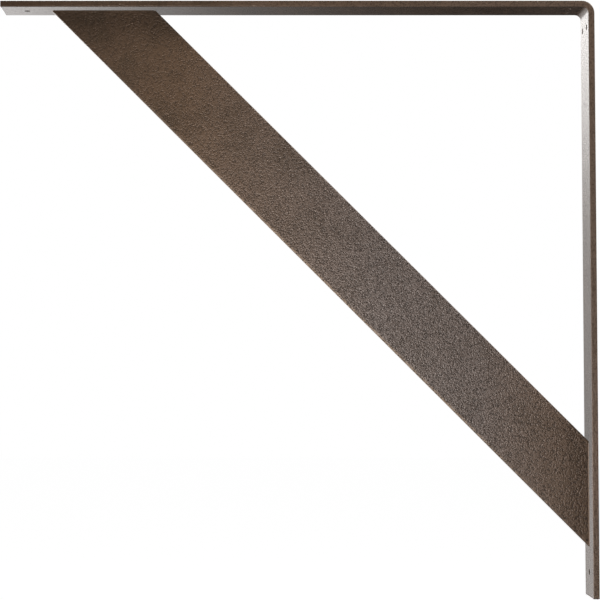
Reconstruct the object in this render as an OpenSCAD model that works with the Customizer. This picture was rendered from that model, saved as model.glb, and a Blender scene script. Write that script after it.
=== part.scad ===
// Welded steel corner bracket for a shelf or worktop.
// A flat bar bent to a right angle makes the shelf leg and the wall leg. A wider flat bar, set on
// edge at the middle of the strap's width, braces the two legs and is welded along both its faces.
// Frame: +X into the wall, +Z up, the strap's width along Y. The origin is on the wall face,
// midway between the two upper screw holes.

/* [Legs] */
// Length of the shelf leg, from the outer corner to its free end
shelf_leg = 609.6; // [450:0.1:1000]
// Length of the wall leg, from the outer corner to its free end
wall_leg = 609.6; // [450:0.1:1000]
// Length of each leg that runs on past the brace
leg_tail = 50.8; // [40:0.1:120]

/* [Strap] */
// Width of the bent bar
strap_w = 50.8; // [40:0.1:100]
// Thickness of the bent bar
strap_t = 6.35; // [4:0.05:10]
// Inside radius of the bend
bend_r = 6.35; // [2:0.05:30]

/* [Brace] */
// Width of the brace bar, across its face
brace_w = 76.2; // [40:0.1:120]
// Thickness of the brace bar
brace_t = 6.35; // [4:0.05:10]

/* [Edges and welds] */
// Radius of the broken edges of both bars
edge_r = 0.9; // [0.2:0.1:1.8]
// Size of the fillet welds, along each face that they join
weld_leg = 1.5; // [1.4:0.1:6]
// Depth of the hollow in the face of each weld
weld_hollow = 0.3; // [0.1:0.1:0.4]

/* [Screw holes] */
// Diameter of every screw hole
hole_d = 6.35; // [4:0.05:9]
// Distance from a leg's free end to its single hole
end_hole_inset = 25.4; // [12:0.1:34]
// Distance from the end of the bend to the pair of holes beside it
corner_hole_offset = 12.7; // [6:0.1:60]
// Distance between the two holes of a pair, across the strap
corner_hole_spacing = 25.4; // [12:0.1:28]

/* [Hidden] */
$fn = 64;

// How far a cutting shape stands out of the face that it cuts
cut_over = 1;

bend_outer_r = strap_t + bend_r;
// From an outer face of the corner to the pair of holes in the other leg
corner_hole_inset = bend_outer_r + corner_hole_offset;

// The brace's lower edge runs between the two places where the tails of the legs begin
brace_run = shelf_leg - leg_tail - strap_t;
brace_drop = wall_leg - leg_tail - strap_t;
brace_length = sqrt(brace_run * brace_run + brace_drop * brace_drop);
// Angles of the brace to the shelf leg and to the wall leg
shelf_lean = atan2(brace_drop, brace_run);
wall_lean = 90 - shelf_lean;

// Dark bronze powder coat, over bars and welds alike
coat = [0.30, 0.25, 0.22];

// ---- Shared shapes ----

// A rectangle from the origin to [w, h] with its corners rounded by true arcs
module broken_rectangle(w, h) {
    translate([edge_r, 0]) square([w - 2 * edge_r, h]);
    translate([0, edge_r]) square([w, h - 2 * edge_r]);
    for (x = [edge_r, w - edge_r], y = [edge_r, h - edge_r])
        translate([x, y]) circle(r = edge_r);
}

// Section of a mill bar, w wide along x and t thick along y, centred on the origin
module bar_section(w, t) {
    translate([-w / 2, -t / 2]) broken_rectangle(w, t);
}

// Extrudes a section along +X, with its x turned to Y and its y to Z
module along_x(length) {
    rotate([90, 0, 90]) linear_extrude(length) children();
}

// The pieces are drawn from the strap's outer corner, and this sets them in the part's own frame
module from_corner() {
    translate([0, 0, corner_hole_inset]) children();
}

// A piece drawn against the shelf leg comes out against the wall leg
module on_wall_leg() {
    mirror([1, 0, -1]) children();
}

module at_rear() {
    mirror([0, 1, 0]) children();
}

// ---- Bent strap ----

module screw_hole() {
    translate([0, 0, -strap_t - cut_over]) cylinder(d = hole_d, h = strap_t + 2 * cut_over);
}

// A straight leg, lying along -X under z = 0, as far as the bend
module leg(length) {
    difference() {
        intersection() {
            translate([-length, 0, -strap_t / 2])
                along_x(length - bend_outer_r) bar_section(strap_w, strap_t);
            // The edges of the free end, broken as the long ones are
            translate([-length, strap_w / 2 + cut_over, -strap_t]) rotate([90, 0, 0])
                linear_extrude(strap_w + 2 * cut_over) broken_rectangle(length, strap_t);
            translate([-length, -strap_w / 2, -strap_t - cut_over])
                linear_extrude(strap_t + 2 * cut_over) broken_rectangle(length, strap_w);
        }
        translate([end_hole_inset - length, 0, 0]) screw_hole();
        for (side = [-1, 1])
            translate([-corner_hole_inset, side * corner_hole_spacing / 2, 0]) screw_hole();
    }
}

module bend() {
    translate([-bend_outer_r, 0, -bend_outer_r]) rotate([90, 0, 0])
        rotate_extrude(angle = 90)
            translate([bend_r + strap_t / 2, 0]) bar_section(strap_t, strap_w);
}

module bent_strap() {
    color(coat) from_corner() {
        leg(shelf_leg);
        bend();
        on_wall_leg() leg(wall_leg);
    }
}

// ---- Diagonal brace ----

module diagonal_brace() {
    color(coat) from_corner() intersection() {
        // The bar, a little longer than its lower edge
        translate([leg_tail - shelf_leg, 0, -strap_t]) rotate([0, shelf_lean, 0])
            translate([-cut_over, 0, brace_w / 2])
                along_x(brace_length + 2 * cut_over) bar_section(brace_t, brace_w);
        // Its ends are mitred to the inner faces of the two legs
        translate([-shelf_leg, -strap_w / 2, -wall_leg])
            cube([shelf_leg - strap_t, strap_w, wall_leg - strap_t]);
    }
}

// ---- Welds ----

// Half of the weld's face, which spans from one joined surface to the other
weld_half_face = weld_leg / sqrt(2);
weld_hollow_r = (weld_half_face * weld_half_face + weld_hollow * weld_hollow) / (2 * weld_hollow);
// The hollow's centre, as far from both joined surfaces
weld_hollow_at = weld_leg / 2 + (weld_hollow_r - weld_hollow) / sqrt(2);

// Fillet between a wall along x = 0 and a ceiling along y = 0
module weld_section() {
    difference() {
        polygon([[0, 0], [weld_leg, 0], [0, -weld_leg]]);
        translate([weld_hollow_at, -weld_hollow_at]) circle(r = weld_hollow_r);
    }
}

// A bead in front of a face at y = 0 and under one at z = 0, turned in to the face at both ends
module bead(length) {
    translate([length, 0, 0]) rotate([90, 0, -90]) linear_extrude(length) weld_section();
    rotate(180) rotate_extrude(angle = 90) weld_section();
    translate([length, 0, 0]) rotate(270) rotate_extrude(angle = 90) weld_section();
}

// The bead that joins the brace's front face to a leg that the brace meets at the angle lean
module front_weld(leg_length, lean) {
    seat_length = brace_w / sin(lean);
    broken_edge = edge_r / sin(lean);
    // The bead stays on the flat of the face, which narrows towards the brace's sharp corner
    start = leg_tail + broken_edge + weld_leg * max(1, cos(lean) / sin(lean));
    end = leg_tail + seat_length - broken_edge - weld_leg;
    translate([start - leg_length, -brace_t / 2, -strap_t]) bead(end - start);
}

module upper_front_weld() {
    color(coat) from_corner() front_weld(shelf_leg, shelf_lean);
}

module upper_rear_weld() {
    color(coat) from_corner() at_rear() front_weld(shelf_leg, shelf_lean);
}

module lower_front_weld() {
    color(coat) from_corner() on_wall_leg() front_weld(wall_leg, wall_lean);
}

module lower_rear_weld() {
    color(coat) from_corner() at_rear() on_wall_leg() front_weld(wall_leg, wall_lean);
}

bent_strap();
diagonal_brace();
upper_front_weld();
upper_rear_weld();
lower_front_weld();
lower_rear_weld();
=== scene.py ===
"""Looks of the welded corner bracket: its powder coat, the studio around it and the camera."""
import math

import bpy
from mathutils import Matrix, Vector


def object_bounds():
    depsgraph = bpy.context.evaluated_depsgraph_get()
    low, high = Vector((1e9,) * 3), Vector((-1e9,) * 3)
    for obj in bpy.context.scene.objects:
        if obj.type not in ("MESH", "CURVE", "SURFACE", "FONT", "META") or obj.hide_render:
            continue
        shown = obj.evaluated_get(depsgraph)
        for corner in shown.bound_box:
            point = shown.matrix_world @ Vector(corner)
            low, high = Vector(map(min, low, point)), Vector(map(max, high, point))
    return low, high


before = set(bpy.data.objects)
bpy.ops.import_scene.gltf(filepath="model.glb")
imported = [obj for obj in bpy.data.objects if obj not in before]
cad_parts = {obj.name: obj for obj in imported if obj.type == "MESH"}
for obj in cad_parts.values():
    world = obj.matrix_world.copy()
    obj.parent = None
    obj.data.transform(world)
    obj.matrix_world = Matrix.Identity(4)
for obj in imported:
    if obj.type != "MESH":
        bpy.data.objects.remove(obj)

cad_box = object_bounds()

# ---- Camera, in metres and degrees ----
CAMERA_AT = Vector((-0.3473, -2.1158, -0.3620))
CAMERA_TILT_UP = 3.166
SENSOR = 36.0
LENS = 123.37
SHIFT_X = 0.0737
SHIFT_Y = -0.0581


def make_camera():
    data = bpy.data.cameras.new("camera")
    data.sensor_width = SENSOR
    data.lens = LENS
    data.shift_x = SHIFT_X
    data.shift_y = SHIFT_Y
    camera = bpy.data.objects.new("camera", data)
    camera.location = CAMERA_AT
    camera.rotation_euler = (math.radians(90 + CAMERA_TILT_UP), 0, 0)
    bpy.context.collection.objects.link(camera)
    bpy.context.scene.camera = camera


# ---- Node helpers ----
class Nodes:
    """A node tree that is written as expressions: each call adds a node and returns its output."""

    def __init__(self, tree):
        self.tree = tree
        tree.nodes.clear()

    def add(self, kind, inputs=None, **settings):
        node = self.tree.nodes.new(kind)
        for key, value in settings.items():
            setattr(node, key, value)
        for key, value in (inputs or {}).items():
            if isinstance(value, bpy.types.NodeSocket):
                self.tree.links.new(value, node.inputs[key])
            else:
                node.inputs[key].default_value = value
        return node

    def math(self, operation, *values):
        node = self.add("ShaderNodeMath", dict(enumerate(values)), operation=operation)
        return node.outputs[0]

    def noise(self, at, scale, detail, distortion=0.0):
        node = self.add(
            "ShaderNodeTexNoise",
            {"Vector": at, "Scale": scale, "Detail": detail, "Distortion": distortion},
        )
        return node.outputs["Fac"]

    def mix(self, factor, a, b):
        node = self.add("ShaderNodeMix", data_type="RGBA")
        sockets = [s for s in node.inputs if s.enabled]
        for socket, value in zip(sockets, (factor, a, b)):
            if isinstance(value, bpy.types.NodeSocket):
                self.tree.links.new(value, socket)
            else:
                socket.default_value = value
        return next(s for s in node.outputs if s.enabled)

    def ramp(self, value, low, high, to_low=0.0, to_high=1.0):
        node = self.add(
            "ShaderNodeMapRange",
            {"Value": value, "From Min": low, "From Max": high, "To Min": to_low, "To Max": to_high},
        )
        return node.outputs["Result"]

    def curve(self, value, stops):
        """A value read off straight lines between (position, value) stops."""
        total = stops[0][1]
        for (low, a), (high, b) in zip(stops, stops[1:]):
            total = self.math("ADD", total, self.ramp(value, low, high, 0.0, b - a))
        return total


def make_material(name, paint):
    """A material whose surface is the shader that the function paint adds to its nodes."""
    material = bpy.data.materials.new(name)
    material.use_nodes = True
    nodes = Nodes(material.node_tree)
    nodes.add("ShaderNodeOutputMaterial", {"Surface": paint(nodes)})
    return material


def seen_directly(nodes):
    """1 where a camera, glossy or transmission ray sees the surface, and 0 where it only lights."""
    path = nodes.add("ShaderNodeLightPath").outputs
    seen = nodes.math("MAXIMUM", path["Is Camera Ray"], path["Is Glossy Ray"])
    return nodes.math("MAXIMUM", seen, path["Is Transmission Ray"])


# ---- Colours ----
def grey(shade):
    return (shade, shade, shade, 1.0)


WHITE = grey(1.0)


def srgb(r, g, b):
    """A colour written as 0 to 255, as linear RGBA."""
    def linear(v):
        v /= 255
        return v / 12.92 if v <= 0.04045 else ((v + 0.055) / 1.055) ** 2.4
    return (linear(r), linear(g), linear(b), 1.0)


# ---- Studio ----
FLOOR_DROP = 1.0  # from the bracket's lowest point, so that it hangs clear of the floor
FLOOR_SIZE = 60.0
FLOOR_Z = cad_box[0][2] - FLOOR_DROP
FLOOR_PAINT = grey(0.4)
# What is looked at is lifted to white by a glow, and still loses the light that the bracket keeps
# off its paint
FLOOR_GLOW = 0.82
FLOOR_SEEN_PAINT = grey(0.5)


def make_sheet(name, verts, faces, paint):
    mesh = bpy.data.meshes.new(name)
    mesh.from_pydata(verts, [], faces)
    mesh.materials.append(make_material(name, paint))
    sheet = bpy.data.objects.new(name, mesh)
    bpy.context.collection.objects.link(sheet)
    return sheet


def floor_paint(nodes):
    paint = nodes.add("ShaderNodeBsdfDiffuse", {"Color": FLOOR_PAINT}).outputs[0]
    glow = nodes.add("ShaderNodeEmission", {"Color": WHITE, "Strength": FLOOR_GLOW}).outputs[0]
    lit = nodes.add("ShaderNodeBsdfDiffuse", {"Color": FLOOR_SEEN_PAINT}).outputs[0]
    white = nodes.add("ShaderNodeAddShader", {0: glow, 1: lit}).outputs[0]
    choice = {0: seen_directly(nodes), 1: paint, 2: white}
    return nodes.add("ShaderNodeMixShader", choice).outputs[0]


def make_floor():
    half = FLOOR_SIZE / 2
    plan = [(-half, -half), (half, -half), (half, half), (-half, half)]
    corners = [(x, y, FLOOR_Z) for x, y in plan]
    floor = make_sheet("floor", corners, [(0, 1, 2, 3)], floor_paint)


# The world is white to look at, and lights the bracket this much
WORLD_LIGHT = 0.35


def make_world():
    world = bpy.data.worlds.new("studio")
    bpy.context.scene.world = world
    world.use_nodes = True
    nodes = Nodes(world.node_tree)
    seen = seen_directly(nodes)
    strength = nodes.math("ADD", nodes.math("MULTIPLY", seen, 1 - WORLD_LIGHT), WORLD_LIGHT)
    shade = nodes.add("ShaderNodeBackground", {"Color": WHITE, "Strength": strength}).outputs[0]
    nodes.add("ShaderNodeOutputWorld", {"Surface": shade})


# Cards round the bracket that only reflections see. They hang on a circle under a dark lid and over
# a rug, and their ends are in degrees round it from straight behind, clockwise from above
CARD_RADIUS = 3.0
CARD_TOP = 3.4
CARD_STEP = 5.0
PAPER_START = -24.0
PAPER_END = 12.0
CLOTH_END = 240.0
RUG_LIFT = 0.02
BLACK_CLOTH = grey(0.03)
GREY_CLOTH = grey(0.3)
# About the middle of the bracket, which the cards stand round and the lights face
MIDDLE = Vector((-0.30, 0.0, -0.28))


def on_circle(degrees):
    a = math.radians(degrees)
    return MIDDLE.x + CARD_RADIUS * math.sin(a), MIDDLE.y + CARD_RADIUS * math.cos(a)


def make_card(name, start, end, paint):
    """A card along the circle from one angle to another, from the floor up."""
    steps = math.ceil((end - start) / CARD_STEP)
    verts = []
    for i in range(steps + 1):
        x, y = on_circle(start + (end - start) * i / steps)
        verts += [(x, y, FLOOR_Z), (x, y, CARD_TOP)]
    faces = [(2 * i, 2 * i + 2, 2 * i + 3, 2 * i + 1) for i in range(steps)]
    hang(name, verts, faces, paint)


def make_disc(name, z, paint):
    steps = math.ceil(360 / CARD_STEP)
    verts = [(*on_circle(360 * i / steps), z) for i in range(steps)]
    hang(name, verts, [tuple(range(steps))], paint)


def hang(name, verts, faces, paint):
    """Adds a sheet that only reflections see."""
    card = make_sheet(name, verts, faces, paint)
    card.visible_camera = False
    card.visible_diffuse = False
    card.visible_shadow = False


def black_cloth(nodes):
    return nodes.add("ShaderNodeBsdfDiffuse", {"Color": BLACK_CLOTH}).outputs[0]


def grey_cloth(nodes):
    return nodes.add("ShaderNodeBsdfDiffuse", {"Color": GREY_CLOTH}).outputs[0]


# The paper's brightness is a value along x times a value along z
ACROSS = [
    (-0.96, 0.47), (-0.72, 0.22), (-0.58, 0.16), (-0.46, 0.084),
    (-0.21, 0.036), (0.04, 0.008), (0.5, 0.0),
]
UPWARD = [
    (-0.9, 4.7), (-0.62, 4.7), (-0.52, 1.3), (-0.42, 3.2),
    (-0.15, 3.15), (0.07, 4.0), (0.3, 10.2), (0.5, 15.5),
]


def graded(nodes):
    """White paper that fades into the dark towards the right, and is brightest at the top."""
    place = nodes.add("ShaderNodeTexCoord").outputs["Object"]
    at = nodes.add("ShaderNodeSeparateXYZ", {0: place}).outputs
    across = nodes.curve(at["X"], ACROSS)
    upward = nodes.curve(at["Z"], UPWARD)
    strength = nodes.math("MULTIPLY", across, upward)
    return nodes.add("ShaderNodeEmission", {"Color": WHITE, "Strength": strength}).outputs[0]


def make_cards():
    make_card("black_cloth", PAPER_END, CLOTH_END, black_cloth)
    make_card("graded_paper", PAPER_START, PAPER_END, graded)
    make_disc("black_lid", CARD_TOP, black_cloth)
    make_disc("grey_rug", FLOOR_Z + RUG_LIFT, grey_cloth)


FRONT_TINT = (0.98, 1.0, 1.02)


def make_light(name, at, width, height, radiance):
    """A soft box that faces the bracket's middle, with the brightness that its front has."""
    data = bpy.data.lights.new(name, "AREA")
    data.shape = "RECTANGLE"
    data.size = width
    data.size_y = height
    data.energy = radiance * math.pi * width * height
    light = bpy.data.objects.new(name, data)
    light.location = at
    light.rotation_euler = (MIDDLE - Vector(at)).to_track_quat("-Z", "Y").to_euler()
    light.visible_camera = False
    bpy.context.collection.objects.link(light)
    return light


def make_lights():
    front = make_light("front_box", at=(-0.48, -2.85, -0.60), width=0.5, height=0.5, radiance=32.0)
    front.data.color = FRONT_TINT
    make_light("left_box", at=(-3.2, 0.0, -0.75), width=2.2, height=1.5, radiance=8.0)
    make_light("top_right_box", at=(2.0, -1.4, 1.9), width=1.6, height=1.6, radiance=18.5)


# ---- Powder coat ----
# The coat greyed by a painted sheen, where the front light's highlight falls on it
COAT_PAINTED_SHEEN = srgb(81, 70, 64)
COAT_WARM = srgb(84, 65, 49)
# Painted shade, darkening the coat towards the shelf leg's free end
COAT_PAINTED_SHADE = srgb(60, 46, 35)
# Painted highlight along the brace's lower edge
COAT_PAINTED_HIGHLIGHT = srgb(144, 122, 102)
SMUDGE = srgb(57, 45, 33)
CREVICE = srgb(32, 26, 21)
# Tints of what the coat reflects
SHEEN = (1.0, 0.86, 0.78, 1.0)
SHEEN_WARM = (1.0, 0.72, 0.55, 1.0)

# The coat is smoothest at the shelf leg's free end, and darkest there, from painted shade and its
# strongest smudges.
# Each of these changes between two places along x
PAINTED_SHADE_SPAN = (-0.60, -0.40)
SMUDGE_SPAN = (-0.50, -0.28)
CREVICE_SPAN = (-0.55, -0.20)
RELIEF_SPAN = (-0.55, -0.10)
# How far a painted sheen greys the coat from its warmer tint, along x, where the highlight falls. It
# also sets the tint of what the coat reflects
STRAP_PAINTED_SHEEN = [(-0.61, 0.1), (0.0, 0.5)]
BRACE_PAINTED_SHEEN = [(-0.43, 0.0), (-0.22, 1.0), (-0.12, 1.0), (-0.01, 0.15)]

# Smudges start and are full at these levels of their noise. At the far end of their span they have
# only the least strength
SMUDGE_SCALE = 26.0
SMUDGE_DETAIL = 2.0
SMUDGE_LEVELS = (0.46, 0.70)
SMUDGE_LEAST = 0.4

# The grain's noise, and how many metres its bump rises for a height of 1
GRAIN_SCALE = 770.0
GRAIN_DETAIL = 0.0
GRAIN_DISTORTION = 0.3
GRAIN_DEPTH = 0.00026
# Low places of the grain are dark crevices, which start and are full at these levels of its noise,
# and have the least and the most strength at the two ends of their span
CREVICE_LEVELS = (0.50, 0.39)
CREVICE_LEAST = 0.5
CREVICE_MOST = 0.9
# The ridges between them are lowered by this much at their tops, which makes them rounder
RIDGE_LEVELS = (0.5, 1.0)
RIDGE_LOWERING = 0.25

# The brace's lower edge slopes at 45 degrees, so x + z is the same all along it
brace_points = [vertex.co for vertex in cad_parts["diagonal_brace"].data.vertices]
BRACE_EDGE = min(point.x for point in brace_points) + max(point.z for point in brace_points)
# How far in from that edge a painted highlight lightens the coat, and how much along x
PAINTED_HIGHLIGHT_WIDTH = 0.003
PAINTED_HIGHLIGHT_ALONG = [(-0.50, 0.0), (-0.34, 1.0), (-0.15, 1.0), (-0.04, 0.3)]


def coat_ground(nodes, at, place, painted_sheen, painted_highlight):
    """The coat's colour before its grain, with painted sheen, painted shade and a painted highlight.
    """
    # Painted sheen: the coat goes grey where the highlight falls
    ground = nodes.mix(painted_sheen, COAT_WARM, COAT_PAINTED_SHEEN)
    # Painted shade darkens the coat towards the shelf leg's free end
    ground = nodes.mix(nodes.ramp(place["X"], *PAINTED_SHADE_SPAN, 1.0, 0.0), ground, COAT_PAINTED_SHADE)
    smudged = nodes.ramp(place["X"], *SMUDGE_SPAN, 1.0, SMUDGE_LEAST)
    blotches = nodes.noise(at, SMUDGE_SCALE, SMUDGE_DETAIL)
    smudge = nodes.ramp(blotches, *SMUDGE_LEVELS, 0.0, smudged)
    ground = nodes.mix(smudge, ground, SMUDGE)
    # A painted highlight lightens the coat in a thin band along the brace's lower edge
    if painted_highlight:
        inward = nodes.math("SUBTRACT", nodes.math("ADD", place["X"], place["Z"]), BRACE_EDGE)
        edge_highlight = nodes.ramp(inward, 0.0, PAINTED_HIGHLIGHT_WIDTH * math.sqrt(2), 1.0, 0.0)
        edge_highlight = nodes.math("MULTIPLY", edge_highlight, nodes.curve(place["X"], PAINTED_HIGHLIGHT_ALONG))
        ground = nodes.mix(edge_highlight, ground, COAT_PAINTED_HIGHLIGHT)
    return ground


def powder_coat(name, painted_sheen_along, crevices=0.5, relief=1.15, gloss=0.5, roughness=0.25, painted_highlight=False):
    """The textured coat of one piece, with its own share of crevices and relief in the grain."""
    def paint(nodes):
        at = nodes.add("ShaderNodeTexCoord").outputs["Object"]
        place = nodes.add("ShaderNodeSeparateXYZ", {0: at}).outputs
        # How much painted sheen greys the coat here
        painted_sheen = nodes.curve(place["X"], painted_sheen_along)
        ground = coat_ground(nodes, at, place, painted_sheen, painted_highlight)
        grain = nodes.noise(at, GRAIN_SCALE, GRAIN_DETAIL, GRAIN_DISTORTION)
        darkness = nodes.ramp(
            place["X"], *CREVICE_SPAN, CREVICE_LEAST * crevices, CREVICE_MOST * crevices
        )
        crevice = nodes.math("MULTIPLY", nodes.ramp(grain, *CREVICE_LEVELS), darkness)
        ridge = nodes.math("SUBTRACT", grain, nodes.ramp(grain, *RIDGE_LEVELS, 0.0, RIDGE_LOWERING))
        rise = nodes.ramp(place["X"], *RELIEF_SPAN, relief / 2, relief)
        height = nodes.math("MULTIPLY", ridge, rise)
        bump = nodes.add(
            "ShaderNodeBump", {"Height": height, "Distance": GRAIN_DEPTH, "Strength": 1.0}
        )
        surface = {
            "Base Color": nodes.mix(crevice, ground, CREVICE),
            "Roughness": roughness,
            "IOR": 1.5,
            "Specular IOR Level": gloss,
            "Specular Tint": nodes.mix(painted_sheen, SHEEN_WARM, SHEEN),
            "Normal": bump.outputs[0],
        }
        return nodes.add("ShaderNodeBsdfPrincipled", surface).outputs[0]

    return make_material(name, paint)


def dress(node, material):
    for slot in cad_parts[node].material_slots:
        slot.material = material


bpy.context.scene.view_settings.view_transform = "Standard"
make_camera()
make_floor()
make_world()
make_cards()
make_lights()
dress("bent_strap", powder_coat("strap_coat", STRAP_PAINTED_SHEEN))
brace_coat = powder_coat(
    "brace_coat", BRACE_PAINTED_SHEEN, crevices=0.85, relief=1.6, roughness=0.3, painted_highlight=True
)
dress("diagonal_brace", brace_coat)
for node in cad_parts:
    if node.endswith("weld"):
        dress(node, powder_coat("coat_" + node, BRACE_PAINTED_SHEEN, gloss=0.4))
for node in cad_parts:
    # The pieces don't mirror one another, so the strap shines evenly past the foot of the brace
    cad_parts[node].visible_glossy = False
